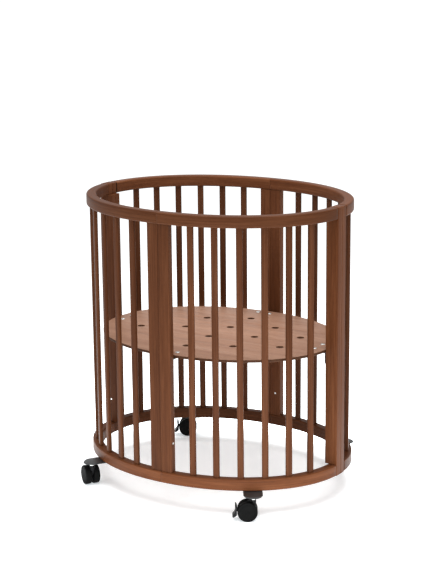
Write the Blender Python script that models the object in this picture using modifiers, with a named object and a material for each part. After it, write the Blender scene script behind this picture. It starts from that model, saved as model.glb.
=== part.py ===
"""Oval baby crib on four swivel casters.

The crib is four quarter panels that meet at the ends of the oval's two axes. Each panel has a curved
top rail, a curved bottom rail, a post at both ends and six slats between them. A perforated mattress
base lies inside on four brackets, one at each seam. A twin-wheel swivel caster hangs from a plate
under each panel, and two casters that face each other across the middle have a brake.

Frame: metres, +Z up, +X along the oval's long axis, -Y towards the front, origin on the floor under
the middle of the crib.
"""

import math

import bmesh
import bpy
from mathutils import Matrix, Vector

MM = 0.001

# ---------------------------------------------------------------- driving dimensions
CRIB_HEIGHT = 856 * MM
OVAL_HALF_LENGTH = 391.4 * MM    # rail centreline, along X
OVAL_HALF_WIDTH = 309 * MM       # rail centreline, along Y
OVAL_EXPONENT = 2.065            # 2 is an ellipse; a little more is a fuller oval
RAIL_WIDTH = 29 * MM
RAIL_HEIGHT = 33 * MM
TOP_RAIL_ROUNDING = 5 * MM
BOTTOM_RAIL_ROUNDING = 4 * MM
RAIL_STEPS = 18                  # straight pieces in one quarter of the oval
BOTTOM_RAIL_TOP = 106.5 * MM

SLATS_PER_PANEL = 6
SLAT_WIDTH = 18.5 * MM
SLAT_DEPTH = 11 * MM
SLAT_ROUNDING = 3.5 * MM
SLAT_PITCH = 68.85 * MM          # along the centreline
FIRST_SLAT = 97.2 * MM           # from the seam in the middle of a long side

SIDE_POST_WIDTH = 34.8 * MM      # along the centreline
SIDE_POST_OUTER = 9.5 * MM       # outer face, outwards from the centreline
SIDE_POST_DEPTH = 21.5 * MM
END_POST_WIDTH = 22 * MM
END_POST_OUTER = 14.8 * MM
END_POST_DEPTH = 39.6 * MM       # between the rails; beside them it is as deep as they are wide
POST_STEPS = 4

BASE_TOP = 444 * MM
BASE_THICKNESS = 8 * MM
BASE_INSET = 25.5 * MM           # edge, inwards from the centreline
BASE_STEPS = 96
HOLE_RADIUS = 11 * MM
HOLE_PITCH = 120 * MM
HOLE_SIDES = 20
SIDE_BRACKET_WIDTH = 58 * MM
END_BRACKET_WIDTH = 38 * MM
BRACKET_THICKNESS = 3 * MM
BRACKET_DROP = 32 * MM
SIDE_BRACKET_REACH = 60 * MM
END_BRACKET_REACH = 48 * MM

CASTER_ALONG = 268 * MM          # swivel axis: along the centreline from the side seam
CASTER_OUT = 42 * MM             # and outwards from the centreline
TRAIL = 16 * MM                  # axle, behind the swivel axis
WHEEL_RADIUS = 28.5 * MM
WHEEL_WIDTH = 18.5 * MM
WHEEL_EDGE = 4 * MM              # rounding of the outer rim
WHEEL_GAP = 7 * MM               # between the two wheels of a caster
WHEEL_STEPS = 32
AXLE_RADIUS = 4 * MM
RUNNING_GAP = 0.1 * MM
PLATE_RADIUS = 27.5 * MM
PLATE_THICKNESS = 3 * MM
DOME_RADIUS = 25.5 * MM          # of the dished underside
DOME_DEPTH = 4 * MM
PLATE_NOSE = 4 * MM              # centre of the round nose, inwards from the swivel axis
PLATE_TAIL = 50 * MM             # end under the rail, inwards from the swivel axis
NECK_RADIUS = 9.4 * MM
NECK_BOTTOM = 63.2 * MM
WASHER_RADIUS = 7.3 * MM
WASHER_BOTTOM = 61.2 * MM
STUD_RADIUS = 3 * MM
STUD_END = 56.8 * MM
BOSS_RADIUS = 8.2 * MM
BOSS_TOP = 60.7 * MM
BOSS_BOTTOM = 40 * MM
WEB_THICKNESS = 5.8 * MM
WHEEL_CLEARANCE = 0.9 * MM
PIVOT_U = 21 * MM                # brake pivot, backwards from the axle
PIVOT_Z = 31 * MM
PIVOT_RADIUS = 2 * MM
PEDAL_WIDTH = 30 * MM
BRAKE_TONGUE_THICKNESS = 2.4 * MM
BRAKE_TONGUE_START = 0.4 * MM    # sideways from the middle of the web

GAP = 0.3 * MM                   # between touching pieces

# The four panels: the signs of their X and Y, the heading in which the caster trails, and its brake.
PANELS = {
    "front_right": (1, -1, math.radians(212), True),
    "back_right": (1, 1, math.radians(222), False),
    "back_left": (-1, 1, math.radians(212), True),
    "front_left": (-1, -1, math.radians(145), False),
}

WALNUT = ((0.150, 0.058, 0.034), 0.45, 0.0)
WALNUT_BOARD = ((0.300, 0.150, 0.095), 0.50, 0.0)
BLACK_PLASTIC = ((0.012, 0.012, 0.013), 0.45, 0.0)
GREY_PLASTIC = ((0.045, 0.048, 0.052), 0.40, 0.0)
DARK_STEEL = ((0.030, 0.030, 0.032), 0.40, 0.9)
BLACK_RUBBER = ((0.010, 0.010, 0.010), 0.65, 0.0)


# ---------------------------------------------------------------- scene and materials
def clear_scene():
    for obj in list(bpy.data.objects):
        bpy.data.objects.remove(obj, do_unlink=True)


def new_collection(name):
    collection = bpy.data.collections.new(name)
    bpy.context.scene.collection.children.link(collection)
    return collection


def new_material(name, look):
    color, roughness, metallic = look
    material = bpy.data.materials.new(name)
    material.use_nodes = True
    shader = material.node_tree.nodes["Principled BSDF"]
    shader.inputs["Base Color"].default_value = (*color, 1.0)
    shader.inputs["Roughness"].default_value = roughness
    shader.inputs["Metallic"].default_value = metallic
    material.diffuse_color = (*color, 1.0)
    return material


def guide(obj, cutters):
    """Keep a cutter or a guide out of the model."""
    for collection in list(obj.users_collection):
        collection.objects.unlink(obj)
    cutters.objects.link(obj)
    obj.hide_render = True
    obj.display_type = "WIRE"
    return obj


# ---------------------------------------------------------------- the oval
def oval_point(angle, offset=0.0):
    """Point and outward normal of the oval's first quarter; angle 0 is the end at +X."""
    power = 2.0 / OVAL_EXPONENT
    x = OVAL_HALF_LENGTH * max(math.cos(angle), 0.0) ** power
    y = OVAL_HALF_WIDTH * max(math.sin(angle), 0.0) ** power
    normal = Vector((
        (x / OVAL_HALF_LENGTH) ** (OVAL_EXPONENT - 1) / OVAL_HALF_LENGTH,
        (y / OVAL_HALF_WIDTH) ** (OVAL_EXPONENT - 1) / OVAL_HALF_WIDTH,
    )).normalized()
    return Vector((x, y)) + normal * offset, normal


def arc_table(samples=2000):
    """Angles and lengths along the quarter's centreline, from the side seam at +Y to the end at +X."""
    angles = [math.pi / 2 * (1 - i / samples) for i in range(samples + 1)]
    lengths = [0.0]
    for first, second in zip(angles, angles[1:]):
        step = (oval_point(second)[0] - oval_point(first)[0]).length
        lengths.append(lengths[-1] + step)
    return angles, lengths


ANGLES, LENGTHS = arc_table()
QUARTER_LENGTH = LENGTHS[-1]


def angle_at(length):
    """Angle of the centreline point at this length from the side seam."""
    for i in range(1, len(LENGTHS)):
        if LENGTHS[i] >= length:
            share = (length - LENGTHS[i - 1]) / (LENGTHS[i] - LENGTHS[i - 1])
            return ANGLES[i - 1] + share * (ANGLES[i] - ANGLES[i - 1])
    return ANGLES[-1]


def in_panel(point, panel):
    """Carry a first-quarter point or direction into a panel's quarter."""
    sign_x, sign_y = PANELS[panel][:2]
    return Vector((point[0] * sign_x, point[1] * sign_y))


# ---------------------------------------------------------------- modelling helpers
def flat_curve(name, outlines, low, high, material, collection):
    """A prism from closed outlines: the first is the edge, the others are holes."""
    curve = bpy.data.curves.new(name, "CURVE")
    curve.dimensions = "2D"
    curve.fill_mode = "BOTH"
    curve.extrude = (high - low) / 2
    for outline in outlines:
        spline = curve.splines.new("POLY")
        spline.points.add(len(outline) - 1)
        for spline_point, (x, y) in zip(spline.points, outline):
            spline_point.co = (x, y, 0.0, 1.0)
        spline.use_cyclic_u = True
    curve.materials.append(material)
    obj = bpy.data.objects.new(name, curve)
    obj.location.z = (low + high) / 2
    collection.objects.link(obj)
    return obj


def as_mesh(obj):
    """Turn a curve object into a mesh object of the same name, with its caps welded on."""
    depsgraph = bpy.context.evaluated_depsgraph_get()
    depsgraph.update()
    mesh = bpy.data.meshes.new_from_object(obj.evaluated_get(depsgraph))
    name, matrix, collection = obj.name, obj.matrix_world.copy(), obj.users_collection[0]
    bpy.data.objects.remove(obj, do_unlink=True)
    mesh_obj = bpy.data.objects.new(name, mesh)
    collection.objects.link(mesh_obj)
    mesh_obj.matrix_world = matrix
    weld(mesh)
    return mesh_obj


def weld(mesh):
    bm = bmesh.new()
    bm.from_mesh(mesh)
    bmesh.ops.remove_doubles(bm, verts=bm.verts, dist=0.01 * MM)
    bmesh.ops.recalc_face_normals(bm, faces=bm.faces)
    bm.to_mesh(mesh)
    bm.free()


def ring(radius, sides, center=(0.0, 0.0), start=0.0):
    return [
        (center[0] + radius * math.cos(start + 2 * math.pi * i / sides),
         center[1] + radius * math.sin(start + 2 * math.pi * i / sides))
        for i in range(sides)
    ]


def arc(center, radius, start, end, steps):
    return [
        (center[0] + radius * math.cos(start + (end - start) * i / steps),
         center[1] + radius * math.sin(start + (end - start) * i / steps))
        for i in range(steps + 1)
    ]


def rounded_rectangle(width, height, radius, steps):
    points = []
    for corner, (sx, sy) in enumerate(((1, 1), (-1, 1), (-1, -1), (1, -1))):
        center = (sx * (width / 2 - radius), sy * (height / 2 - radius))
        start = corner * math.pi / 2
        points += arc(center, radius, start, start + math.pi / 2, steps)
    return points


def boolean(obj, cutter, operation):
    modifier = obj.modifiers.new(operation.title() + " " + cutter.name, "BOOLEAN")
    modifier.operation = operation
    modifier.object = cutter
    modifier.solver = "EXACT"


def cylinder(name, radius, low, high, sides, cutters):
    """An upright cylinder on the local origin, as a tool for a Boolean."""
    bpy.ops.mesh.primitive_cylinder_add(vertices=sides, radius=radius, depth=high - low,
                                        location=(0, 0, (low + high) / 2))
    obj = bpy.context.object
    obj.name = name
    return guide(obj, cutters)


# ---------------------------------------------------------------- frame of the crib
def rail_path(panel):
    """Centreline of a panel's rail, from the end post to the side seam, with square ends."""
    half_gap = GAP / 2
    straight = 2 * MM
    start = angle_at(QUARTER_LENGTH - END_POST_WIDTH - GAP)
    points = []
    for i in range(RAIL_STEPS + 1):
        point, _ = oval_point(start + (math.pi / 2 - start) * i / RAIL_STEPS)
        points.append(point)
    _, normal = oval_point(start)
    side = points[-1]
    points[-1] = Vector((half_gap, side.y))
    points.insert(1, points[0] + Vector((-normal.y, normal.x)) * straight)
    points.insert(-1, Vector((straight, side.y)))
    return [in_panel(point, panel) for point in points]


def make_rail(name, panel, top, section, material, collection):
    curve = bpy.data.curves.new(name, "CURVE")
    curve.dimensions = "3D"
    curve.twist_mode = "Z_UP"
    curve.bevel_mode = "OBJECT"
    curve.bevel_object = section
    curve.use_fill_caps = True
    path = rail_path(panel)
    spline = curve.splines.new("POLY")
    spline.points.add(len(path) - 1)
    for spline_point, point in zip(spline.points, path):
        spline_point.co = (point.x, point.y, 0.0, 1.0)
    curve.materials.append(material)
    rail = bpy.data.objects.new(name, curve)
    collection.objects.link(rail)
    rail.location.z = top - RAIL_HEIGHT / 2
    return as_mesh(rail)


def make_rail_section(name, rounding, cutters):
    outline = rounded_rectangle(RAIL_WIDTH, RAIL_HEIGHT, rounding, 3)
    curve = bpy.data.curves.new(name, "CURVE")
    curve.dimensions = "2D"
    curve.fill_mode = "NONE"
    spline = curve.splines.new("POLY")
    spline.points.add(len(outline) - 1)
    for spline_point, (x, y) in zip(spline.points, outline):
        spline_point.co = (x, y, 0.0, 1.0)
    spline.use_cyclic_u = True
    section = bpy.data.objects.new(name, curve)
    cutters.objects.link(section)
    return guide(section, cutters)


def post_outline(panel, at_end, width, outer, depth):
    """Plan of a post: it follows the oval and has one flat side on the seam."""
    faces = []
    for offset in (outer, outer - depth):
        face = []
        for i in range(POST_STEPS + 1):
            length = width * i / POST_STEPS
            angle = angle_at(QUARTER_LENGTH - length if at_end else length)
            point, _ = oval_point(angle, offset)
            if at_end:
                point.y = max(point.y, GAP / 2)
            else:
                point.x = max(point.x, GAP / 2)
            face.append(in_panel(point, panel))
        faces.append(face)
    return [tuple(point) for point in faces[0] + faces[1][::-1]]


def slat_outline(panel, index):
    angle = angle_at(FIRST_SLAT + SLAT_PITCH * index)
    center, normal = oval_point(angle)
    tangent = Vector((-normal.y, normal.x))
    outline = []
    for along, out in rounded_rectangle(SLAT_WIDTH, SLAT_DEPTH, SLAT_ROUNDING, 3):
        outline.append(tuple(in_panel(center + tangent * along + normal * out, panel)))
    return outline


def make_end_post(panel, wood, collection, cutters):
    """A post as tall as the whole panel, cut back inside to the rails' width where it meets them."""
    name = "end_post_" + panel
    outline = post_outline(panel, True, END_POST_WIDTH, END_POST_OUTER, END_POST_DEPTH)
    post = as_mesh(flat_curve(name, [outline], BOTTOM_RAIL_TOP - RAIL_HEIGHT, CRIB_HEIGHT,
                              wood, collection))
    rail_inside = OVAL_HALF_LENGTH - RAIL_WIDTH / 2
    corners = ((rail_inside - 40 * MM, -20 * MM), (rail_inside, -20 * MM),
               (rail_inside, 60 * MM), (rail_inside - 40 * MM, 60 * MM))
    for place, low, high in (("top", CRIB_HEIGHT - RAIL_HEIGHT, CRIB_HEIGHT + 20 * MM),
                             ("bottom", BOTTOM_RAIL_TOP - RAIL_HEIGHT - 20 * MM, BOTTOM_RAIL_TOP)):
        shape = [tuple(in_panel(Vector(corner), panel)) for corner in corners]
        cut = as_mesh(flat_curve(f"{name}_{place}_cut", [shape], low, high, wood, cutters))
        boolean(post, guide(cut, cutters), "DIFFERENCE")


def make_panel(panel, top_section, bottom_section, wood, collection, cutters):
    top_rail_bottom = CRIB_HEIGHT - RAIL_HEIGHT
    make_rail("top_rail_" + panel, panel, CRIB_HEIGHT, top_section, wood, collection)
    make_rail("bottom_rail_" + panel, panel, BOTTOM_RAIL_TOP, bottom_section, wood, collection)
    low, high = BOTTOM_RAIL_TOP + GAP, top_rail_bottom - GAP
    side_post = post_outline(panel, False, SIDE_POST_WIDTH, SIDE_POST_OUTER, SIDE_POST_DEPTH)
    flat_curve("side_post_" + panel, [side_post], low, high, wood, collection)
    make_end_post(panel, wood, collection, cutters)
    for index in range(SLATS_PER_PANEL):
        name = f"slat_{panel}_{index + 1}"
        flat_curve(name, [slat_outline(panel, index)], low, high, wood, collection)


# ---------------------------------------------------------------- mattress base
def base_outline():
    outline = []
    for i in range(BASE_STEPS):
        turn = 4 * i // BASE_STEPS
        local = 2 * math.pi * i / BASE_STEPS - turn * math.pi / 2
        angle = local if turn % 2 == 0 else math.pi / 2 - local
        point, _ = oval_point(angle, -BASE_INSET)
        sign_x = 1 if turn in (0, 3) else -1
        sign_y = 1 if turn in (0, 1) else -1
        outline.append((point.x * sign_x, point.y * sign_y))
    return outline


def hole_centers():
    """Staggered columns, one pitch apart, with the holes one pitch apart in each."""
    centers = []
    for column in range(-2, 3):
        rows = (-1.5, -0.5, 0.5, 1.5) if column % 2 == 0 else (-1, 0, 1)
        if abs(column) == 2:
            rows = (-0.5, 0.5)
        centers += [(column * HOLE_PITCH, row * HOLE_PITCH) for row in rows]
    return centers


def make_base(wood, collection):
    holes = [ring(HOLE_RADIUS, HOLE_SIDES, center) for center in hole_centers()]
    flat_curve("mattress_base", [base_outline()] + holes, BASE_TOP - BASE_THICKNESS, BASE_TOP,
               wood, collection)


def make_bracket(name, face, width, reach, turn, material, collection):
    """An angle bracket: one leg under the base, one leg down the inner faces of the two posts."""
    top = BASE_TOP - BASE_THICKNESS - GAP
    outline = [
        (face - reach, top), (face - reach, top - BRACKET_THICKNESS),
        (face - BRACKET_THICKNESS, top - BRACKET_THICKNESS), (face - BRACKET_THICKNESS, top - BRACKET_DROP),
        (face, top - BRACKET_DROP), (face, top),
    ]
    bracket = upright_prism(name, outline, -width / 2, width / 2, material, collection)
    bracket.matrix_world = Matrix.Rotation(turn, 4, "Z") @ bracket.matrix_world
    return bracket


def make_brackets(material, collection):
    edge = SIDE_BRACKET_WIDTH / 2 + 3 * MM   # a little beyond the leg: the posts' faces are chords
    side_inner, _ = oval_point(angle_at(edge), SIDE_POST_OUTER - SIDE_POST_DEPTH)
    end_inner, _ = oval_point(angle_at(QUARTER_LENGTH - END_POST_WIDTH), END_POST_OUTER - END_POST_DEPTH)
    side_face, end_face = side_inner.y - GAP, end_inner.x - GAP
    for turn, side in enumerate(("right", "back", "left", "front")):
        face, width, reach = (end_face, END_BRACKET_WIDTH, END_BRACKET_REACH) if turn % 2 == 0 else \
            (side_face, SIDE_BRACKET_WIDTH, SIDE_BRACKET_REACH)
        make_bracket("base_bracket_" + side, face, width, reach, turn * math.pi / 2, material, collection)


# ---------------------------------------------------------------- casters
def turned(name, profile, steps, material, collection):
    """A turned piece about local Z from (radius, height) points that run from top to bottom."""
    mesh = bpy.data.meshes.new(name)
    points = [(radius, 0.0, height) for radius, height in profile]
    edges = [(i, i + 1) for i in range(len(points) - 1)]
    mesh.from_pydata(points, edges, [])
    mesh.materials.append(material)
    obj = bpy.data.objects.new(name, mesh)
    collection.objects.link(obj)
    screw = obj.modifiers.new("Turn", "SCREW")
    screw.axis = "Z"
    screw.angle = 2 * math.pi
    screw.steps = steps
    screw.render_steps = steps
    screw.use_merge_vertices = True
    screw.merge_threshold = 0.0001
    screw.use_normal_calculate = True
    return obj


def caster_empty(panel, collection):
    stem, _ = oval_point(angle_at(CASTER_ALONG), CASTER_OUT)
    empty = bpy.data.objects.new("caster_" + panel, None)
    empty.location = (*in_panel(stem, panel), 0.0)
    collection.objects.link(empty)
    return empty


def plate_outline(inwards):
    """A plate with a round nose outwards and straight sides that run inwards, under the rail."""
    along = Vector((math.cos(inwards), math.sin(inwards)))
    across = Vector((-along.y, along.x))
    nose = along * PLATE_NOSE
    outline = arc(nose, PLATE_RADIUS, inwards + math.pi / 2, inwards + 3 * math.pi / 2, 20)
    corner = 6 * MM
    for side in (-1, 1):
        square = along * PLATE_TAIL + across * side * PLATE_RADIUS
        cuts = [square - along * corner, square - across * side * corner]
        outline += [tuple(cut) for cut in (cuts if side < 0 else cuts[::-1])]
    return outline


def make_plate(panel, empty, material, collection, cutters):
    name = "caster_plate_" + panel
    _, normal = oval_point(angle_at(CASTER_ALONG))
    inwards = in_panel(-normal, panel)
    high = BOTTOM_RAIL_TOP - RAIL_HEIGHT - GAP
    low = high - PLATE_THICKNESS
    outline = plate_outline(math.atan2(inwards.y, inwards.x))
    plate = as_mesh(flat_curve(name, [outline], low, high, material, collection))
    profile = [
        (0.0, high - 1 * MM), (DOME_RADIUS, high - 1 * MM), (DOME_RADIUS, low - 0.2 * DOME_DEPTH),
        (0.78 * DOME_RADIUS, low - 0.6 * DOME_DEPTH), (NECK_RADIUS, low - DOME_DEPTH),
        (NECK_RADIUS, NECK_BOTTOM),
        (WASHER_RADIUS, NECK_BOTTOM), (WASHER_RADIUS, WASHER_BOTTOM), (STUD_RADIUS, WASHER_BOTTOM),
        (STUD_RADIUS, STUD_END), (0.0, STUD_END),
    ]
    stud = guide(turned(name + "_stud", profile, 32, material, collection), cutters)
    for obj in (plate, stud):
        obj.parent = empty
    boolean(plate, stud, "UNION")
    return plate


def web_outline():
    """Side view of the housing's web between the wheels: u back from the swivel axis, z up."""
    return [
        (-7.6 * MM, 59 * MM), (-8 * MM, 52 * MM), (-8 * MM, 43 * MM), (-4 * MM, 33 * MM),
        (3 * MM, 22 * MM), (12 * MM, 17 * MM), (22 * MM, 17 * MM), (30 * MM, 21 * MM),
        (38 * MM, 27 * MM), (39.5 * MM, 35 * MM), (34 * MM, 44 * MM), (25 * MM, 51 * MM),
        (15 * MM, 56 * MM), (7.6 * MM, 59 * MM),
    ]


def upright_prism(name, outline, low, high, material, collection):
    """A prism whose outline lies in the local u-z plane, from v = low to v = high."""
    obj = flat_curve(name, [outline], 0.0, high - low, material, collection)
    obj.location.z = 0.0
    stand = Matrix(((1, 0, 0, 0), (0, 0, 1, (low + high) / 2), (0, 1, 0, 0), (0, 0, 0, 1)))
    obj.matrix_world = stand
    bpy.context.view_layer.update()
    return as_mesh(obj)


def lay_along_v(obj, u, z, side=1):
    """Turn a piece made about Z so that its axis lies along v (side 1) or -v (side -1), at (u, z)."""
    obj.data.transform(obj.matrix_basis)
    obj.matrix_world = Matrix.Translation((u, 0.0, z)) @ Matrix.Rotation(-side * math.pi / 2, 4, "X")


def make_housing(panel, pivot, material, collection, cutters):
    name = "caster_housing_" + panel
    half = WEB_THICKNESS / 2
    housing = upright_prism(name, web_outline(), -half, half, material, collection)
    boss = cylinder(name + "_boss", BOSS_RADIUS, BOSS_BOTTOM, BOSS_TOP, 24, cutters)
    tools = [boss]
    for side in (-1, 1):
        well = cylinder(name + f"_wheel_well_{side}", WHEEL_RADIUS + WHEEL_CLEARANCE,
                        half - 0.4 * MM, 30 * MM, 48, cutters)
        lay_along_v(well, TRAIL, WHEEL_RADIUS, side)
        boolean(boss, well, "DIFFERENCE")
        tools.append(well)
    boolean(housing, boss, "UNION")
    stud_bore = cylinder(name + "_stud_bore", STUD_RADIUS + RUNNING_GAP, STUD_END - 0.5 * MM,
                         BOSS_TOP + 1 * MM, 24, cutters)
    boolean(housing, stud_bore, "DIFFERENCE")
    axle_bore = cylinder(name + "_axle_bore", AXLE_RADIUS + RUNNING_GAP, -2 * half, 2 * half, 24, cutters)
    lay_along_v(axle_bore, TRAIL, WHEEL_RADIUS)
    boolean(housing, axle_bore, "DIFFERENCE")
    tools += [stud_bore, axle_bore]
    if PANELS[panel][3]:
        tools += cut_brake_seat(housing, cutters)
    for obj in [housing] + tools:
        obj.parent = pivot
    return housing


def cut_brake_seat(housing, cutters):
    """Thin the web's tail to one side for the brake's tongue, and bore it for the brake's pin."""
    half = WEB_THICKNESS / 2
    front = TRAIL + PIVOT_U - 7 * MM
    bpy.ops.mesh.primitive_cube_add(size=1)
    pocket = guide(bpy.context.object, cutters)
    pocket.name = housing.name + "_brake_pocket"
    pocket.scale = (20 * MM, WEB_THICKNESS, 50 * MM)
    pocket.location = (front + 10 * MM, half, PIVOT_Z)
    boolean(housing, pocket, "DIFFERENCE")
    pin_bore = cylinder(housing.name + "_pin_bore", PIVOT_RADIUS + RUNNING_GAP, -2 * half, 2 * half, 20,
                        cutters)
    lay_along_v(pin_bore, TRAIL + PIVOT_U, PIVOT_Z)
    boolean(housing, pin_bore, "DIFFERENCE")
    return [pocket, pin_bore]


def wheel_profile():
    """Half section of the two wheels and their axle: radius, distance along the axle."""
    inner, outer, edge = WHEEL_GAP / 2, WHEEL_GAP / 2 + WHEEL_WIDTH, WHEEL_EDGE
    half = [(AXLE_RADIUS, inner), (WHEEL_RADIUS - 2 * MM, inner), (WHEEL_RADIUS, inner + 2 * MM)]
    half += [
        (WHEEL_RADIUS - edge + edge * math.sin(angle), outer - edge + edge * math.cos(angle))
        for angle in (math.pi / 2, math.pi / 3, math.pi / 6, 0.0)
    ]
    half += [(12 * MM, outer + 0.6 * MM), (0.0, outer + 0.9 * MM)]
    return half[::-1] + [(radius, -along) for radius, along in half]


def make_wheels(panel, pivot, material, collection):
    wheels = turned("caster_wheels_" + panel, wheel_profile(), WHEEL_STEPS, material, collection)
    lay_along_v(wheels, TRAIL, WHEEL_RADIUS)
    wheels.parent = pivot
    return wheels


def pedal_outline():
    """Side view of the brake pedal around the wheels' rear: u back and z up from the axle."""
    return [
        (35.4 * MM, 20 * MM), (34.2 * MM, 19.8 * MM), (30.4 * MM, 15.6 * MM), (28.6 * MM, 11.6 * MM),
        (29.6 * MM, 6 * MM), (30 * MM, 0.0), (29.8 * MM, -5 * MM), (29.4 * MM, -10 * MM),
        (32.6 * MM, -12 * MM), (36 * MM, -15.4 * MM), (40.4 * MM, -17 * MM), (42.8 * MM, -15.6 * MM),
        (42.8 * MM, -12.8 * MM), (38.6 * MM, -7.5 * MM), (35.4 * MM, -2.4 * MM), (34.2 * MM, 7 * MM),
    ]


def make_brake(panel, pivot, material, collection, cutters):
    name = "caster_brake_" + panel
    blade = [(TRAIL + u, WHEEL_RADIUS + z) for u, z in pedal_outline()]
    brake = upright_prism(name, blade, -PEDAL_WIDTH / 2, PEDAL_WIDTH / 2, material, collection)
    pin_u, low = TRAIL + PIVOT_U, BRAKE_TONGUE_START
    tongue_outline = arc((pin_u, PIVOT_Z), 4.5 * MM, math.pi / 2, 3 * math.pi / 2, 8)
    tongue_outline += [(TRAIL + 32 * MM, PIVOT_Z - 4.5 * MM), (TRAIL + 32 * MM, PIVOT_Z + 4.5 * MM)]
    tongue = upright_prism(name + "_tongue", tongue_outline, low, low + BRAKE_TONGUE_THICKNESS,
                           material, collection)
    guide(tongue, cutters)
    pin = cylinder(name + "_pin", PIVOT_RADIUS, 0.5 * MM - WEB_THICKNESS / 2, 1.6 * MM, 16, cutters)
    lay_along_v(pin, pin_u, PIVOT_Z)
    boolean(brake, tongue, "UNION")
    boolean(brake, pin, "UNION")
    for obj in (brake, tongue, pin):
        obj.parent = pivot
    return brake


def make_caster(panel, materials, collection, cutters):
    empty = caster_empty(panel, collection)
    make_plate(panel, empty, materials["plate"], collection, cutters)
    swivel = bpy.data.objects.new("swivel_" + panel, None)
    swivel.parent = empty
    swivel.rotation_euler.z = PANELS[panel][2]
    collection.objects.link(swivel)
    make_housing(panel, swivel, materials["housing"], collection, cutters)
    make_wheels(panel, swivel, materials["wheel"], collection)
    if PANELS[panel][3]:
        make_brake(panel, swivel, materials["housing"], collection, cutters)


# ---------------------------------------------------------------- whole crib
def main():
    clear_scene()
    parts = new_collection("baby_crib")
    cutters = new_collection("cutters")
    wood = new_material("walnut_stain", WALNUT)
    board = new_material("walnut_board", WALNUT_BOARD)
    caster_materials = {
        "plate": new_material("grey_plastic", GREY_PLASTIC),
        "housing": new_material("black_plastic", BLACK_PLASTIC),
        "wheel": new_material("black_rubber", BLACK_RUBBER),
    }
    top_section = make_rail_section("top_rail_section", TOP_RAIL_ROUNDING, cutters)
    bottom_section = make_rail_section("bottom_rail_section", BOTTOM_RAIL_ROUNDING, cutters)
    for panel in PANELS:
        make_panel(panel, top_section, bottom_section, wood, parts, cutters)
    make_base(board, parts)
    make_brackets(new_material("dark_steel", DARK_STEEL), parts)
    for panel in PANELS:
        make_caster(panel, caster_materials, parts, cutters)


main()
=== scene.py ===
"""Looks of the oval baby crib: stained wood, perforated board, casters, light and camera.

Every wooden piece is rebuilt at a finer step than its CAD solid, with eased edges and a grain that
follows it. Each caster piece is rebuilt the same way. Metres, +Z up, the same frame as the CAD.
"""

import math
import random

import bmesh
import bpy
from mathutils import Matrix, Vector


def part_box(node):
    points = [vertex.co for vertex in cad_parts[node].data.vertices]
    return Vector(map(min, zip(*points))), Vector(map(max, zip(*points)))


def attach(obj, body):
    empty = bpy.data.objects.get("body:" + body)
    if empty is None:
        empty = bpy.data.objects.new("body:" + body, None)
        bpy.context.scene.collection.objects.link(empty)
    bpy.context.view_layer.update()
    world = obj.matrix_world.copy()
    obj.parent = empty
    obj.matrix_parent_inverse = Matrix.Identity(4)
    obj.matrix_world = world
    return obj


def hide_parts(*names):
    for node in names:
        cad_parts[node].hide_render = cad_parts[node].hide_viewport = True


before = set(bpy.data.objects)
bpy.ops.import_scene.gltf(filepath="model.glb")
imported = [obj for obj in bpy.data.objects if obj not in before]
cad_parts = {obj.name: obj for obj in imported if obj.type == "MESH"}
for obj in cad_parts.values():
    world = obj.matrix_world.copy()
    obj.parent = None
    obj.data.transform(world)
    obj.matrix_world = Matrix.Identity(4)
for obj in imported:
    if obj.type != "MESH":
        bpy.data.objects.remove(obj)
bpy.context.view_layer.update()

MM = 0.001

# ---------------------------------------------------------------- dimensions shared with the CAD
HALF_LENGTH = 391.4 * MM
HALF_WIDTH = 309 * MM
EXPONENT = 2.065
RAIL_WIDTH = 29 * MM
GAP = 0.3 * MM          # between the CAD's solids
FIRST_SLAT, SLAT_PITCH, SLAT_COUNT = 97.2 * MM, 68.85 * MM, 6
SLAT_WIDTH, SLAT_DEPTH = 18.5 * MM, 11 * MM
POSTS = {   # width along the oval, outer face from the centreline, depth
    "side": (34.8 * MM, 9.5 * MM, 21.5 * MM),
    "end": (22 * MM, 14.8 * MM, 39.6 * MM),
}
BASE_INSET = 25.5 * MM
HOLE_RADIUS, HOLE_PITCH = 11 * MM, 120 * MM
CASTER_ALONG, CASTER_OUT = 268 * MM, 42 * MM
TRAIL = 16 * MM
WHEEL_RADIUS, WHEEL_WIDTH, WHEEL_GAP = 28.5 * MM, 18.5 * MM, 7 * MM
PANELS = {
    "front_right": (1, -1, math.radians(212), True),
    "back_right": (1, 1, math.radians(222), False),
    "back_left": (-1, 1, math.radians(212), True),
    "front_left": (-1, -1, math.radians(145), False),
}

# ---------------------------------------------------------------- details that only the looks have
SEAM_GAP = 0.04 * MM    # where twin posts or rails meet: tight, so that little light passes
RAIL_ROUNDING = {"top": 5 * MM, "bottom": 4 * MM}
RAIL_EASE = 0.5 * MM, 1.2 * MM      # at the side seam and at the end post
RAIL_STEPS = 56
POST_ROUNDING, POST_END_EASE = 1.8 * MM, 2.5 * MM
POST_FACE_STEPS = 6
SLAT_ROUNDING = 3.5 * MM
BASE_EASE = 0.8 * MM
HOLE_STEPS = 48
POST_BOLT_HEAD = 3.0 * MM, 0.8 * MM     # radius and height
BASE_BOLT_HEAD = 6.5 * MM, 2.2 * MM
BOLT_SKIRT = 0.35       # straight share of a bolt head's height
PLATE_THICKNESS, PLATE_RADIUS = 3 * MM, 27.5 * MM
PLATE_LENGTH, PLATE_CHAMFER = 50 * MM, 6 * MM
WEB_HALF = 2.9 * MM
BOSS_RADIUS, BOSS_STEPS, BOSS_CLEARANCE = 8.2 * MM, 40, 0.9 * MM
PEDAL_HALF = 15 * MM
ARM_SIDES = 0.4 * MM, 2.8 * MM

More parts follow.
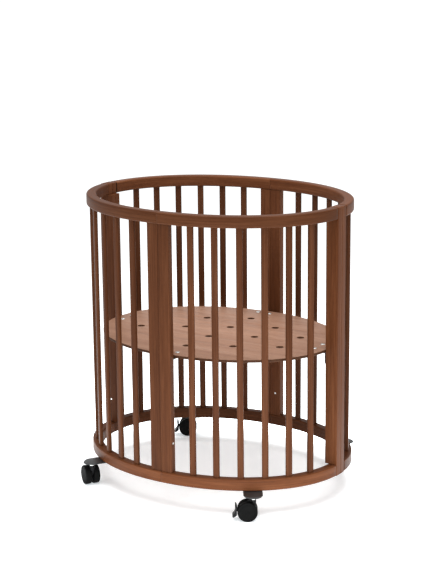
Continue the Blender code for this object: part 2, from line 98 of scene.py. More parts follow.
CAMERA_PLACE = Vector((2.5253, -4.0129, 1.7051))
CAMERA_FORWARD = Vector((-0.51917, 0.82243, -0.23253)).normalized()
CAMERA_RIGHT = Vector((0.84675, 0.53191, -0.00925)).normalized()
CAMERA_LENS = 137.69
WORLD_STRENGTH = 0.88
LAMPS = (   # name, place, target, size, watts
    ("overhead", (0.3, -0.3, 3.2), (0, 0, 0.4), (2.6, 2.6), 130),
    ("low_front", (0.62, -0.98, 0.16), (0, 0, 0.12), (1.2, 0.25), 5.5),
)
# The floor's glow over the distance from the middle, as a share of GLOW_REACH oval radii. The
# bright ring outside the crib glows as a lamp on the crib's lower parts; the weaker glow under the
# crib, lowest at its rim, is painted shade on the floor.
GLOW_REACH, GLOW_STRENGTH = 10.0, 2.6
FLOOR_GLOW_AND_SHADE = ((0.06, 0.155), (0.10, 0.12), (0.125, 0.22), (0.15, 1.0), (0.20, 0.85), (0.35, 0.25),
              (1.0, 0.12))

# Painted light and shade on each group of wooden pieces: how light each group is made, lighter
# where light falls (the lower front rail, the front-right end post) and darker in shade (the back
# slats, the lower back rail); a piece belongs to the first group its name starts with.
PAINTED_LIGHT_LEVELS = (
    ("top_rail_front", 0.90), ("top_rail_back", 1.18), ("bottom_rail_front", 1.35),
    ("bottom_rail_back", 0.85), ("end_post_front_right", 1.25), ("end_post_back_right", 1.15),
    ("end_post", 1.0), ("side_post_back", 1.15), ("side_post_front", 0.97),
    ("slat_back_right", 0.78), ("slat_back", 0.86), ("slat_front", 0.92),
)

pick = random.Random(7)


# The factor of painted light and shade for a piece, from its group.
def painted_light_of(name):
    return next(painted_light for words, painted_light in PAINTED_LIGHT_LEVELS if name.startswith(words))


# ---------------------------------------------------------------- node helpers
class Nodes:
    """A material's node tree, built call by call."""

    def __init__(self, name):
        self.material = bpy.data.materials.new(name)
        self.material.use_nodes = True
        self.tree = self.material.node_tree
        self.shader = self.tree.nodes["Principled BSDF"]

    def add(self, kind, **settings):
        node = self.tree.nodes.new("ShaderNode" + kind)
        for key, value in settings.items():
            setattr(node, key, value)
        return node

    def link(self, output, target):
        self.tree.links.new(output, target)

    def feed(self, node, **values):
        """Set or link sockets by name, with _ for a space, or by number, as in i6."""
        for key, value in values.items():
            numbered = key[0] == "i" and key[1:].isdigit()
            socket = node.inputs[int(key[1:]) if numbered else key.replace("_", " ")]
            if isinstance(value, bpy.types.NodeSocket):
                self.link(value, socket)
            else:
                socket.default_value = value
        return node

    def scaled(self, vector, scale):
        node = self.add("Mapping")
        self.feed(node, Vector=vector, Scale=scale)
        return node.outputs["Vector"]

    def noise(self, vector, scale, detail=4.0, roughness=0.55, distortion=0.0):
        node = self.add("TexNoise")
        self.feed(node, Vector=vector, Scale=scale, Detail=detail, Roughness=roughness,
                  Distortion=distortion)
        return node.outputs["Fac"]

    def ramp(self, value, stops):
        node = self.add("ValToRGB")
        elements = node.color_ramp.elements
        while len(elements) < len(stops):
            elements.new(0.5)
        for element, (position, color) in zip(elements, stops):
            element.position = position
            element.color = (*color, 1.0)
        self.link(value, node.inputs["Fac"])
        return node.outputs["Color"]

    def spread(self, value, low, high, to_low, to_high):
        node = self.add("MapRange")
        self.feed(node, Value=value, From_Min=low, From_Max=high, To_Min=to_low, To_Max=to_high)
        return node.outputs["Result"]

    def mix(self, factor, first, second, blend="MIX"):
        node = self.add("Mix", data_type="RGBA", blend_type=blend)
        self.feed(node, i0=factor, i6=first, i7=second)
        return node.outputs[2]

    def bump(self, height, strength, distance):
        node = self.add("Bump")
        self.feed(node, Height=height, Strength=strength, Distance=distance)
        self.link(node.outputs["Normal"], self.shader.inputs["Normal"])


def wood_material(name, dark, mid, light, roughness, gloss):
    """Stained timber. The grain attribute is (along, across, through) the piece in metres, and a
    per-piece factor scales the colour as painted light and shade, lighter or darker as light falls
    on the piece."""
    n = Nodes(name)
    grain = n.add("Attribute", attribute_name="grain").outputs["Vector"]
    figure = n.noise(n.scaled(grain, (1.3, 24, 24)), 1.0, 3.0, 0.5, 0.6)
    streaks = n.noise(n.scaled(grain, (6, 260, 260)), 1.0, 5.0, 0.6, 0.2)
    pores = n.noise(n.scaled(grain, (40, 1500, 1500)), 1.0, 2.0, 0.5)
    color = n.ramp(n.mix(0.55, figure, streaks), [(0.30, dark), (0.5, mid), (0.70, light)])
    pore_mask = n.spread(pores, 0.30, 0.46, 0.72, 1.0)
    color = n.mix(1.0, color, pore_mask, "MULTIPLY")
    # Painted light and shade: the piece's colour is scaled lighter or darker as light falls on it.
    painted_light = n.add("Attribute", attribute_name="painted_light").outputs["Fac"]
    color = n.mix(1.0, color, painted_light, "MULTIPLY")
    n.link(color, n.shader.inputs["Base Color"])
    n.link(n.spread(streaks, 0.3, 0.7, roughness - 0.05, roughness + 0.07),
           n.shader.inputs["Roughness"])
    n.feed(n.shader, Specular_IOR_Level=gloss)
    n.bump(n.mix(0.5, streaks, pores), 0.25, 0.0004)
    return n.material


def plastic_material(name, color, roughness, coarse, depth, gloss=0.5):
    """Moulded plastic or rubber with a fine spark-eroded surface and slightly uneven gloss."""
    n = Nodes(name)
    place = n.add("TexCoord").outputs["Object"]
    cloud = n.noise(place, 35.0, 3.0)
    texture = n.noise(place, coarse, 3.0)
    bright = tuple(min(1.0, channel * 1.4 + 0.001) for channel in color)
    n.link(n.ramp(cloud, [(0.35, color), (0.65, bright)]), n.shader.inputs["Base Color"])
    n.link(n.spread(cloud, 0.3, 0.7, roughness - 0.06, roughness + 0.08),
           n.shader.inputs["Roughness"])
    n.feed(n.shader, Specular_IOR_Level=gloss)
    n.bump(texture, 0.3, depth)
    return n.material


def steel_material(name, color, roughness):
    n = Nodes(name)
    place = n.add("TexCoord").outputs["Object"]
    brushed = n.noise(n.scaled(place, (300, 300, 2500)), 1.0, 3.0)
    dark = tuple(channel * 0.8 for channel in color)
    n.link(n.ramp(brushed, [(0.3, dark), (0.7, color)]), n.shader.inputs["Base Color"])
    n.link(n.spread(brushed, 0.3, 0.7, roughness - 0.05, roughness + 0.08),
           n.shader.inputs["Roughness"])
    n.feed(n.shader, Metallic=1.0)
    n.bump(brushed, 0.1, 0.0001)
    return n.material


WOOD = wood_material("stained_wood", (0.041, 0.0120, 0.0040), (0.074, 0.0240, 0.0086),
                     (0.116, 0.0425, 0.0178), 0.43, 0.06)
# Painted shade: near black on the rail's eased end beside the end post, as the joint's shadow.
RAIL_END_SHADE = wood_material("rail_end_painted_shade", (0.006, 0.0025, 0.0012), (0.010, 0.0040, 0.0018),
                     (0.016, 0.0060, 0.0028), 0.7, 0.05)
BOARD = wood_material("stained_board", (0.175, 0.086, 0.053), (0.245, 0.130, 0.083),
                      (0.315, 0.181, 0.123), 0.48, 0.15)
BOARD_EDGE = wood_material("board_edge", (0.034, 0.0125, 0.0055), (0.054, 0.0215, 0.010),
                           (0.075, 0.032, 0.016), 0.6, 0.08)
HOUSING = plastic_material("black_nylon", (0.004, 0.004, 0.0045), 0.46, 1800.0, 0.0002, 0.12)
PLATE = plastic_material("dark_grey_nylon", (0.016, 0.0165, 0.017), 0.36, 1400.0, 0.0002, 0.35)
TREAD = plastic_material("black_tread", (0.003, 0.003, 0.003), 0.60, 900.0, 0.0003, 0.04)
BRACKET = plastic_material("black_powder_coat", (0.014, 0.014, 0.015), 0.42, 1100.0, 0.0003)
STEEL = steel_material("zinc_plated_steel", (0.78, 0.78, 0.76), 0.28)


# ---------------------------------------------------------------- the oval
def oval_point(angle, offset=0.0):
    """Point and outward normal of the oval's first quarter; angle 0 is the end at +X."""
    power = 2.0 / EXPONENT
    x = HALF_LENGTH * max(math.cos(angle), 0.0) ** power
    y = HALF_WIDTH * max(math.sin(angle), 0.0) ** power
    normal = Vector((
        (x / HALF_LENGTH) ** (EXPONENT - 1) / HALF_LENGTH,
        (y / HALF_WIDTH) ** (EXPONENT - 1) / HALF_WIDTH,
    )).normalized()
    return Vector((x, y)) + normal * offset, normal


def arc_table(samples=2000):
    angles = [math.pi / 2 * (1 - i / samples) for i in range(samples + 1)]
    lengths = [0.0]
    for first, second in zip(angles, angles[1:]):
        lengths.append(lengths[-1] + (oval_point(second)[0] - oval_point(first)[0]).length)
    return angles, lengths


ANGLES, LENGTHS = arc_table()
QUARTER = LENGTHS[-1]


def angle_at(length):
    """Angle of the centreline point at this length from the side seam."""
    for i in range(1, len(LENGTHS)):
        if LENGTHS[i] >= length:
            share = (length - LENGTHS[i - 1]) / (LENGTHS[i] - LENGTHS[i - 1])
            return ANGLES[i - 1] + share * (ANGLES[i] - ANGLES[i - 1])
    return ANGLES[-1]


def in_panel(point, panel):
    return Vector((point[0] * PANELS[panel][0], point[1] * PANELS[panel][1]))


# ---------------------------------------------------------------- mesh helpers
def arc(center, radius, start, end, steps):
    return [
        (center[0] + radius * math.cos(start + (end - start) * i / steps),
         center[1] + radius * math.sin(start + (end - start) * i / steps))
        for i in range(steps + 1)
    ]


def circle(radius, height, steps):
    return [(radius * math.cos(2 * math.pi * i / steps), radius * math.sin(2 * math.pi * i / steps),
             height) for i in range(steps)]


def corner_curve(before, here, after, radius, steps):
    """Points of a curve that rounds the corner at here."""
    first = here + (before - here).normalized() * radius
    last = here + (after - here).normalized() * radius
    shares = [k / steps for k in range(steps + 1)]
    return [tuple(first * (1 - t) ** 2 + here * 2 * t * (1 - t) + last * t * t) for t in shares]


def rounded_rectangle(width, height, radius, steps):
    points = []
    for corner, (sx, sy) in enumerate(((1, 1), (-1, 1), (-1, -1), (1, -1))):
        center = (sx * (width / 2 - radius), sy * (height / 2 - radius))
        points += arc(center, radius, corner * math.pi / 2, (corner + 1) * math.pi / 2, steps)
    return points


def rounded_polygon(points, radius, steps=4):
    """The polygon with each corner replaced by an arc-like curve of about this radius."""
    result = []
    for i, point in enumerate(points):
        point = Vector(point)
        before, after = Vector(points[i - 1]), Vector(points[(i + 1) % len(points)])
        reach = min(radius, (before - point).length * 0.45, (after - point).length * 0.45)
        result += corner_curve(before, point, after, reach, steps)
    return result


def finish_mesh(name, bm, material, sharp=40):
    bmesh.ops.recalc_face_normals(bm, faces=bm.faces)
    mesh = bpy.data.meshes.new(name)
    bm.to_mesh(mesh)
    bm.free()
    for polygon in mesh.polygons:
        polygon.use_smooth = True
    mesh.set_sharp_from_angle(angle=math.radians(sharp))
    mesh.materials.append(material)
    obj = bpy.data.objects.new(name, mesh)
    bpy.context.scene.collection.objects.link(obj)
    return obj


def loft(bm, rings, closed_ends=True):
    """Skin equally long closed rings of points, and give back their rows of vertices."""
    rows = [[bm.verts.new(point) for point in ring] for ring in rings]
    count = len(rows[0])
    for low, high in zip(rows, rows[1:]):
        for i in range(count):
            bm.faces.new((low[i], low[(i + 1) % count], high[(i + 1) % count], high[i]))
    if closed_ends:
        bm.faces.new(rows[0][::-1])
        bm.faces.new(rows[-1])
    return rows


def inset_ring(points, amount):
    """The closed outline moved inwards by this amount."""
    result = []
    count = len(points)
    following = points[1:] + points[:1]
    area = sum(here[0] * after[1] - after[0] * here[1] for here, after in zip(points, following))
    side = 1 if area > 0 else -1
    for i in range(count):
        before, here, after = Vector(points[i - 1]), Vector(points[i]), Vector(following[i])
        first, second = (here - before).normalized(), (after - here).normalized()
        mean = (first + second).normalized()
        inward = Vector((-mean.y, mean.x)) * side
        result.append(tuple(here + inward * amount))
    return result


def prism(name, outline, low, high, material, ease=0.0, steps=3, place=None, sharp=40):
    """An upright prism whose top and bottom edges are eased by this radius."""
    bm = bmesh.new()
    rings = []
    for k in range(steps + 1 if ease else 1):
        turn = math.pi / 2 * k / steps if ease else math.pi / 2
        inset, rise = ease * (1 - math.sin(turn)), ease * (1 - math.cos(turn))
        ring = inset_ring(outline, inset) if inset > 1e-7 else outline
        rings.append([(x, y, low + rise) for x, y in ring])
    rings += [[(x, y, high - (z - low)) for x, y, z in ring] for ring in reversed(rings)]
    loft(bm, rings)
    if place:
        bmesh.ops.transform(bm, matrix=place, verts=bm.verts)
    return finish_mesh(name, bm, material, sharp)


def lathe(name, profile, steps, material, place=None, sharp=35):
    """A turned piece about Z from (radius, height) points."""
    bm = bmesh.new()
    loft(bm, [circle(max(radius, 0.00001), height, steps) for radius, height in profile])
    if place:
        bmesh.ops.transform(bm, matrix=place, verts=bm.verts)
    return finish_mesh(name, bm, material, sharp)


def set_grain(obj, coordinate, painted_light=1.0):
    """Store grain, for which coordinate gives (along, across, through) at a vertex, and the factor
    of painted light and shade for the whole piece.
    """
    offset = Vector((pick.uniform(0, 50), pick.uniform(0, 50), pick.uniform(0, 50)))
    attribute = obj.data.attributes.new("grain", "FLOAT_VECTOR", "POINT")
    for vertex, item in zip(obj.data.vertices, attribute.data):
        item.vector = Vector(coordinate(vertex.co)) + offset
    for item in obj.data.attributes.new("painted_light", "FLOAT", "POINT").data:
        item.value = painted_light


def stand_for(obj, body, slot, *nodes):
    """Put a piece on its body, in place of these CAD nodes; slot is not used."""
    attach(obj, body)
    if nodes:
        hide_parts(*nodes)


# ---------------------------------------------------------------- rails
def corner_key(point):
    return tuple(round(value, 6) for value in point)


def make_rail(panel, level):
    node = f"{level}_rail_{panel}"
    low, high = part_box(node)
    middle, height = (low.z + high.z) / 2, high.z - low.z
    section = rounded_rectangle(RAIL_WIDTH, height, RAIL_ROUNDING[level], 8)
    ease, half = RAIL_EASE, SEAM_GAP / 2
    eased = [inset_ring(section, amount) for amount in ease]
    end = QUARTER - POSTS["end"][0] - GAP
    lengths = [end * i / RAIL_STEPS for i in range(RAIL_STEPS + 1)]
    stations = [(length, *oval_point(angle_at(length))) for length in lengths]
    rings, spans = [], []

    def add(length, point, normal, outline):
        ring = []
        for across, up in outline:
            spot = in_panel(point + normal * across, panel)
            ring.append((spot.x, spot.y, middle + up))
        rings.append(ring)
        spans.append((length, outline))

    top_of_side, square = stations[0][1].y, Vector((0, 1))
    add(half, Vector((half, top_of_side)), square, eased[0])
    add(half + ease[0], Vector((half + ease[0], top_of_side)), square, section)
    for length, point, normal in stations[1:-1]:
        add(length, point, normal, section)
    _, point, normal = stations[-1]
    back = Vector((-normal.y, normal.x)) * ease[1]
    add(end - ease[1], point + back, normal, section)
    add(end, point, normal, eased[1])
    bm = bmesh.new()
    loft(bm, rings)
    rail = finish_mesh("wood_" + node, bm, WOOD, 50)
    rail.data.materials.append(RAIL_END_SHADE)
    flat = [(length, across, up) for length, outline in spans for across, up in outline]
    lookup = {corner_key(point): coordinate
              for point, coordinate in zip([p for ring in rings for p in ring], flat)}
    where = [lookup[corner_key(vertex.co)] for vertex in rail.data.vertices]
    # The rail's eased end beside the end post takes the near-black painted shade.
    for polygon in rail.data.polygons:
        in_joint_shade = min(where[i][0] for i in polygon.vertices) > end - ease[1] - 0.00001
        polygon.material_index = 1 if in_joint_shade else 0
    set_grain(rail, lambda co: lookup[corner_key(co)], painted_light_of(node))
    stand_for(rail, "crib", "walnut_stain", node)


# ---------------------------------------------------------------- posts and slats
def post_outline(panel, kind, inner=None):
    """Plan of a post with its corners rounded; inner is the depth at which it is cut straight."""
    width, outer, depth = POSTS[kind]
    faces = []
    for offset in (outer, outer - depth):
        face = []
        for i in range(POST_FACE_STEPS + 1):
            length = width * i / POST_FACE_STEPS
            point, _ = oval_point(angle_at(QUARTER - length if kind == "end" else length), offset)
            if kind == "end":
                point.y = max(point.y, SEAM_GAP / 2)
                point.x = point.x if inner is None else max(point.x, inner)
            else:
                point.x = max(point.x, SEAM_GAP / 2)
            face.append(in_panel(point, panel))
        faces.append(face)
    outline = [tuple(point) for point in faces[0] + faces[1][::-1]]
    corners = {0, POST_FACE_STEPS, POST_FACE_STEPS + 1, 2 * POST_FACE_STEPS + 1}
    result = []
    for i, point in enumerate(outline):
        if i not in corners:
            result.append(point)
            continue
        before, after = Vector(outline[i - 1]), Vector(outline[(i + 1) % len(outline)])
        result += corner_curve(before, Vector(point), after, POST_ROUNDING, 4)
    return result


def upright_grain(obj, center, normal, painted_light):
    """Grain up the piece."""
    tangent = Vector((-normal.y, normal.x))

    def coordinate(co):
        spot = Vector((co.x, co.y)) - center
        return co.z, spot.dot(tangent), spot.dot(normal)

    set_grain(obj, coordinate, painted_light)


def make_post(name, full, inside, low, high):
    """A post; an end post narrows to the inside outline beside the rails, with eased ends."""
    if inside is None:
        return prism(name, full, low, high, WOOD)
    ease, sill = POST_END_EASE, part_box("bottom_rail_front_right")[1].z
    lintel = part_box("top_rail_front_right")[0].z
    rings = [[(x, y, low) for x, y in inset_ring(inside, ease * 0.6)],
             [(x, y, low + ease * 0.3) for x, y in inset_ring(inside, ease * 0.2)]]
    rings += [[(x, y, z) for x, y in inside] for z in (low + ease, sill)]
    rings += [[(x, y, z) for x, y in full] for z in (sill + 0.1 * MM, lintel - 0.1 * MM)]
    rings += [[(x, y, z) for x, y in inside] for z in (lintel, high - ease)]
    rings += [[(x, y, high - ease * 0.3) for x, y in inset_ring(inside, ease * 0.2)],
              [(x, y, high) for x, y in inset_ring(inside, ease * 0.6)]]
    bm = bmesh.new()
    loft(bm, rings)
    return finish_mesh(name, bm, WOOD)


def make_uprights(panel):
    for kind, (width, _, _) in POSTS.items():
        node = f"{kind}_post_{panel}"
        low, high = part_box(node)
        full, inside = post_outline(panel, kind), None
        if kind == "end":
            inside = post_outline(panel, kind, HALF_LENGTH - RAIL_WIDTH / 2 + 0.01 * MM)
        post = make_post("wood_" + node, full, inside, low.z, high.z)
        at = angle_at(QUARTER - width / 2 if kind == "end" else width / 2)
        point, normal = oval_point(at)
        upright_grain(post, in_panel(point, panel), in_panel(normal, panel), painted_light_of(node))
        stand_for(post, "crib", "walnut_stain", node)
    for index in range(SLAT_COUNT):
        node = f"slat_{panel}_{index + 1}"
        low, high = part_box(node)
        point, normal = oval_point(angle_at(FIRST_SLAT + SLAT_PITCH * index))
        center, out = in_panel(point, panel), in_panel(normal, panel)
        tangent = Vector((-out.y, out.x))
        outline = [tuple(center + tangent * along + out * across)
                   for along, across in rounded_rectangle(SLAT_WIDTH, SLAT_DEPTH, SLAT_ROUNDING, 6)]
        slat = prism("wood_" + node, outline, low.z, high.z, WOOD)
        upright_grain(slat, center, out, painted_light_of(node))
        stand_for(slat, "crib", "walnut_stain", node)


# ---------------------------------------------------------------- mattress base
def base_outline(steps=160):
    """The base's rim, quarter by quarter, anticlockwise from +X."""
    outline = []
    for i in range(steps):
        turn = 4 * i // steps
        local = 2 * math.pi * i / steps - turn * math.pi / 2
        point, _ = oval_point(local if turn % 2 == 0 else math.pi / 2 - local, -BASE_INSET)
        outline.append((point.x if turn in (0, 3) else -point.x,
                        point.y if turn in (0, 1) else -point.y))
    return outline


def hole_centers():
    centers = []
    for column in range(-2, 3):
        rows = (-1.5, -0.5, 0.5, 1.5) if column % 2 == 0 else (-1, 0, 1)
        if abs(column) == 2:
            rows = (-0.5, 0.5)
        centers += [(column * HOLE_PITCH, row * HOLE_PITCH) for row in rows]
    return centers


def make_base():
    low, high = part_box("mattress_base")
    ease = BASE_EASE
    curve = bpy.data.curves.new("base_shape", "CURVE")
    curve.dimensions = "2D"
    curve.fill_mode = "BOTH"
    curve.extrude = (high.z - low.z) / 2 - ease
    curve.bevel_depth = ease
    curve.bevel_resolution = 2
    curve.offset = -ease
    rings = [base_outline()]
    last = HOLE_STEPS - 1
    rings += [arc(center, HOLE_RADIUS, 0, 2 * math.pi * last / HOLE_STEPS, last)
              for center in hole_centers()]
    for ring in rings:
        spline = curve.splines.new("POLY")
        spline.points.add(len(ring) - 1)
        for spline_point, (x, y) in zip(spline.points, ring):
            spline_point.co = (x, y, 0.0, 1.0)
        spline.use_cyclic_u = True
    shape = bpy.data.objects.new("base_shape", curve)
    bpy.context.scene.collection.objects.link(shape)
    evaluated = shape.evaluated_get(bpy.context.evaluated_depsgraph_get())
    mesh = bpy.data.meshes.new_from_object(evaluated)
    bpy.data.objects.remove(shape)
    bm = bmesh.new()
    bm.from_mesh(mesh)
    bmesh.ops.remove_doubles(bm, verts=bm.verts, dist=0.00001)
    bmesh.ops.translate(bm, verts=bm.verts, vec=(0, 0, (low.z + high.z) / 2))
    base = finish_mesh("board_mattress_base", bm, BOARD, 30)
    base.data.materials.append(BOARD_EDGE)
    for polygon in base.data.polygons:
        polygon.material_index = 1 if abs(polygon.normal.z) < 0.3 else 0
    set_grain(base, lambda co: (co.x, co.y, co.z))
    stand_for(base, "crib", "walnut_board", "mattress_base")


# ---------------------------------------------------------------- metal fittings
def make_bolt(name, spot, axis, radius, height):
    """A round-headed socket screw whose head stands on spot and points along axis."""
    crown = 1 - BOLT_SKIRT
    profile = [(0.0, 0.0), (radius, 0.0), (radius, height * BOLT_SKIRT)]
    profile += [(radius - height * crown * (1 - math.cos(a)),
                 height * (BOLT_SKIRT + crown * math.sin(a))) for a in (0.5, 1.0, 1.35)]
    profile += [(radius * 0.45, height), (radius * 0.42, height * BOLT_SKIRT), (0.0, height * 0.3)]
    turn = Vector((0, 0, 1)).rotation_difference(Vector(axis)).to_matrix().to_4x4()
    bolt = lathe(name, profile, 28, STEEL, Matrix.Translation(spot) @ turn)
    stand_for(bolt, "crib", "dark_steel")


def make_post_bolts():
    """Screw heads low on three posts: on the far side face, or in the middle of the inner face."""
    for kind, panel, place, level in (("side", "front_right", "far", 192 * MM),
                                      ("side", "back_right", "inner", 178 * MM),
                                      ("end", "front_left", "far", 181 * MM)):
        width, outer, depth = POSTS[kind]
        far = place == "far"
        length, across = (width, outer - depth / 2) if far else (width / 2, outer - depth)
        angle = angle_at(length if kind == "side" else QUARTER - length)
        point, normal = oval_point(angle, across)
        away = 1 if kind == "side" else -1
        face = Vector((normal.y, -normal.x)) * away if far else -normal
        spot, axis = in_panel(point, panel), in_panel(face, panel)
        make_bolt(f"post_bolt_{kind}_{panel}", (spot.x, spot.y, level), (axis.x, axis.y, 0),
                  *POST_BOLT_HEAD)


def make_fittings():
    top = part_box("mattress_base")[1].z
    for number, (x, y) in enumerate(((-20, -256), (20, -256), (333, -24), (333, 24), (20, 256),
                                     (-20, 256), (-333, 24), (-333, -24))):
        make_bolt(f"base_bolt_{number + 1}", (x * MM, y * MM, top), (0, 0, 1), *BASE_BOLT_HEAD)
    for side in ("right", "back", "left", "front"):
        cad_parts["base_bracket_" + side].data.materials[0] = BRACKET


# ---------------------------------------------------------------- casters
def caster_frames(panel):
    """The swivel axis on the floor, the way out of the oval there, and the matrix from
    (u back, v sideways, z up) to the crib."""
    stem, normal = oval_point(angle_at(CASTER_ALONG), CASTER_OUT)
    stem, outwards = in_panel(stem, panel), in_panel(normal, panel)
    heading = PANELS[panel][2]
    local = Matrix.Translation((stem.x, stem.y, 0)) @ Matrix.Rotation(heading, 4, "Z")
    return stem, outwards, local


def make_plate(panel, stem, outwards):
    node = "caster_plate_" + panel
    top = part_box(node)[1].z
    bottom = top - PLATE_THICKNESS
    inwards = math.atan2(-outwards.y, -outwards.x)
    along = Vector((math.cos(inwards), math.sin(inwards)))
    across = Vector((-along.y, along.x))
    radius = PLATE_RADIUS
    outline = arc(along * 4 * MM, radius, inwards + math.pi / 2, inwards + 3 * math.pi / 2, 32)
    for side in (-1, 1):
        square = along * PLATE_LENGTH + across * side * radius
        cuts = [square - along * PLATE_CHAMFER, square - across * side * PLATE_CHAMFER]
        outline += [tuple(cut) for cut in (cuts if side < 0 else cuts[::-1])]
    outline = [(x + stem.x, y + stem.y) for x, y in outline]
    plate = prism("moulded_" + node, outline, bottom, top, PLATE, ease=0.9 * MM, steps=4)
    stand_for(plate, "crib", "grey_plastic", node)
    here = Matrix.Translation((stem.x, stem.y, 0))
    neck = lathe("neck_" + panel, [
        (0.0, bottom + 0.5 * MM), (25.4 * MM, bottom + 0.5 * MM), (25.2 * MM, bottom - 0.3 * MM),
        (24.0 * MM, bottom - 1.0 * MM), (19.8 * MM, bottom - 2.2 * MM),
        (14 * MM, bottom - 3.1 * MM), (9.4 * MM, bottom - 4 * MM), (9.2 * MM, 64.2 * MM),
        (8.6 * MM, 63.4 * MM), (0.0, 63.4 * MM),
    ], 56, PLATE, here)
    stand_for(neck, "crib", "grey_plastic")
    washer = lathe("washer_" + panel, [
        (0.0, 63.5 * MM), (7.2 * MM, 63.5 * MM), (7.6 * MM, 63.1 * MM), (7.6 * MM, 61.6 * MM),
        (7.2 * MM, 61.2 * MM), (3.0 * MM, 61.2 * MM), (3.0 * MM, 56.8 * MM), (0.0, 56.8 * MM),
    ], 40, STEEL, here)
    stand_for(washer, "crib", "dark_steel")


# Turns an outline drawn in x and y to stand in u and z.
STANDING = Matrix(((1, 0, 0, 0), (0, 0, 1, 0), (0, 1, 0, 0), (0, 0, 0, 1)))


def make_housing(panel, local):
    web = [
        (-7.6, 60.3), (-8, 52), (-8, 43), (-4, 33), (3, 22), (12, 17), (22, 17), (30, 21),
        (38, 27), (39.5, 35), (34, 44), (25, 51), (15, 57), (7.6, 60.3),
    ]
    outline = rounded_polygon([(u * MM, z * MM) for u, z in web], 5 * MM, 4)
    body = prism("moulded_caster_housing_" + panel, outline, -WEB_HALF, WEB_HALF, HOUSING,
                 ease=0.6 * MM, place=local @ STANDING, sharp=50)
    stand_for(body, "swivel_" + panel, "black_plastic", "caster_housing_" + panel)
    # The boss under the washer, whose underside follows the wheels.
    bm = bmesh.new()
    rings, reach = [], WHEEL_RADIUS + BOSS_CLEARANCE
    for share in (0.0, 1.0):
        ring = []
        for u, v, _ in circle(BOSS_RADIUS, 0.0, BOSS_STEPS):
            under = WHEEL_RADIUS + math.sqrt(max(reach ** 2 - (u - TRAIL) ** 2, 0.0))
            ring.append((u, v, under + (60.2 * MM - under) * share))
        rings.append(ring)
    rings.append([(u * 0.93, v * 0.93, 60.7 * MM) for u, v, _ in rings[-1]])
    loft(bm, rings)
    bmesh.ops.transform(bm, matrix=local, verts=bm.verts)
    boss = finish_mesh("boss_" + panel, bm, HOUSING, 50)
    stand_for(boss, "swivel_" + panel, "black_plastic")


def make_wheels(panel, local):
    inner, outer, edge = WHEEL_GAP / 2, WHEEL_GAP / 2 + WHEEL_WIDTH, 4 * MM
    lip = 2 * MM
    half = [(4 * MM, inner), (WHEEL_RADIUS - lip, inner)]
    half += [(WHEEL_RADIUS - lip + lip * math.sin(a), inner + lip - lip * math.cos(a))
             for a in (0.5, 1.0, math.pi / 2)]
    half += [(WHEEL_RADIUS - edge + edge * math.cos(a), outer - edge + edge * math.sin(a))
             for a in [math.pi / 2 * k / 6 for k in range(7)]]
    # The outer side: a groove inside the tread, a domed cover, and the axle's end.
    half += [(radius * MM, outer + rise * MM) for radius, rise in (
        (22.6, 0.0), (22.2, -0.7), (21.4, -0.7), (21.0, 0.1), (14, 0.7), (6, 0.9), (5.6, 0.5),
        (4.8, 0.5), (4.4, 0.9), (0.0, 0.9))]
    profile = half[::-1] + [(radius, -along) for radius, along in half]
    axle = Matrix.Translation((TRAIL, 0, WHEEL_RADIUS))
    place = local @ axle @ Matrix.Rotation(-math.pi / 2, 4, "X")
    wheels = lathe("tread_caster_wheels_" + panel, profile, 72, TREAD, place, 30)
    stand_for(wheels, "wheels_" + panel, "black_rubber", "caster_wheels_" + panel)


def make_brake(panel, local):
    pedal = [
        (35.4, 20), (34.2, 19.8), (30.4, 15.6), (28.6, 11.6), (29.6, 6), (30, 0), (29.8, -5),
        (29.4, -10), (32.6, -12), (36, -15.4), (40.4, -17), (42.8, -15.6), (42.8, -12.8),
        (38.6, -7.5), (35.4, -2.4), (34.2, 7),
    ]
    around_axle = [(TRAIL + u * MM, WHEEL_RADIUS + z * MM) for u, z in pedal]
    outline = rounded_polygon(around_axle, 2 * MM, 3)
    brake = prism("moulded_caster_brake_" + panel, outline, -PEDAL_HALF, PEDAL_HALF, HOUSING,
                  ease=0.4 * MM, place=local @ STANDING, sharp=50)
    stand_for(brake, "brake_" + panel, "black_plastic", "caster_brake_" + panel)
    tongue = [
        (48, 26.5), (36.5, 26.5), (33.5, 28.5), (32.5, 31), (33.5, 33.5), (36.5, 35.5), (48, 35.5),
    ]
    outline = rounded_polygon([(u * MM, z * MM) for u, z in tongue], 2 * MM, 3)
    arm = prism("brake_arm_" + panel, outline, *ARM_SIDES, HOUSING, place=local @ STANDING)
    stand_for(arm, "brake_" + panel, "black_plastic")


# ---------------------------------------------------------------- camera, light, floor
def make_camera():
    data = bpy.data.cameras.new("camera")
    data.sensor_fit = "HORIZONTAL"
    data.sensor_width = 36.0
    data.lens = CAMERA_LENS
    data.clip_start, data.clip_end = 0.1, 100.0
    camera = bpy.data.objects.new("camera", data)
    forward, right, place = CAMERA_FORWARD, CAMERA_RIGHT, CAMERA_PLACE
    up = right.cross(forward)
    camera.matrix_world = Matrix((
        (right.x, up.x, -forward.x, place.x),
        (right.y, up.y, -forward.y, place.y),
        (right.z, up.z, -forward.z, place.z),
        (0, 0, 0, 1),
    ))
    bpy.context.scene.collection.objects.link(camera)
    bpy.context.scene.camera = camera


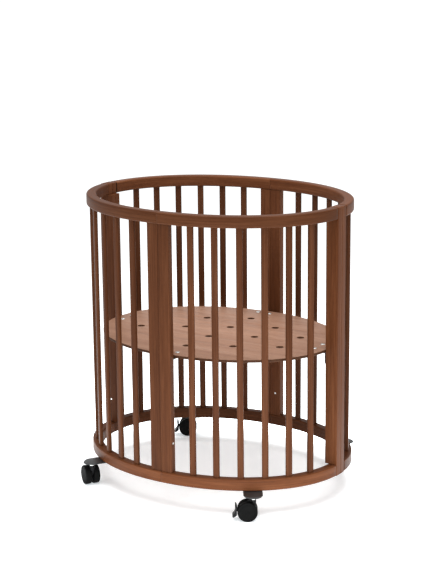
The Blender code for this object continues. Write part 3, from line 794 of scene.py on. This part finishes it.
def make_lamp(name, place, target, size, power):
    data = bpy.data.lights.new(name, "AREA")
    data.shape = "RECTANGLE"
    data.size, data.size_y = size
    data.energy = power
    lamp = bpy.data.objects.new(name, data)
    lamp.location = place
    lamp.rotation_euler = (Vector(target) - Vector(place)).to_track_quat("-Z", "Y").to_euler()
    bpy.context.scene.collection.objects.link(lamp)


def make_stage():
    world = bpy.data.worlds.new("studio")
    world.use_nodes = True
    background = world.node_tree.nodes["Background"]
    background.inputs["Color"].default_value = (1.0, 1.0, 1.0, 1.0)
    background.inputs["Strength"].default_value = WORLD_STRENGTH
    bpy.context.scene.world = world
    bpy.context.scene.view_settings.view_transform = "Standard"
    bpy.context.scene.view_settings.look = "None"

    n = Nodes("pale_floor")
    place = n.add("TexCoord").outputs["Object"]
    cloud = n.noise(place, 1.5, 2.0)
    n.link(n.ramp(cloud, [(0.3, (0.88, 0.88, 0.885)), (0.7, (0.90, 0.90, 0.90))]),
           n.shader.inputs["Base Color"])
    n.feed(n.shader, Roughness=0.9, Specular_IOR_Level=0.1, Emission_Color=(0.90, 0.97, 1.0, 1.0))
    # The floor glows as painted light: strongly in a ring that lights the crib's lower parts,
    # weakly under the crib, least at its rim, as painted shade there.
    distance = n.add("VectorMath", operation="LENGTH")
    n.link(n.scaled(place, (1 / HALF_LENGTH, 1 / HALF_WIDTH, 1)), distance.inputs[0])
    share = n.ramp(n.spread(distance.outputs["Value"], 0.0, GLOW_REACH, 0.0, 1.0),
                   [(position, (level,) * 3) for position, level in FLOOR_GLOW_AND_SHADE])
    n.link(n.spread(share, 0.0, 1.0, 0.0, GLOW_STRENGTH), n.shader.inputs["Emission Strength"])
    bm = bmesh.new()
    rings = [circle(radius, 0.0, 96) for radius in (0.01, 1.0, 3.0, 10.0, 60.0)]
    rows = loft(bm, rings, closed_ends=False)
    bm.faces.new(rows[0])
    floor = finish_mesh("floor", bm, n.material)
    for lamp in LAMPS:
        make_lamp(*lamp)


# ---------------------------------------------------------------- whole scene
make_camera()
for panel in PANELS:
    make_rail(panel, "top")
    make_rail(panel, "bottom")
    make_uprights(panel)
make_base()
make_post_bolts()
make_fittings()
for panel in PANELS:
    stem, outwards, local = caster_frames(panel)
    make_plate(panel, stem, outwards)
    make_housing(panel, local)
    make_wheels(panel, local)
    if PANELS[panel][3]:
        make_brake(panel, local)
make_stage()
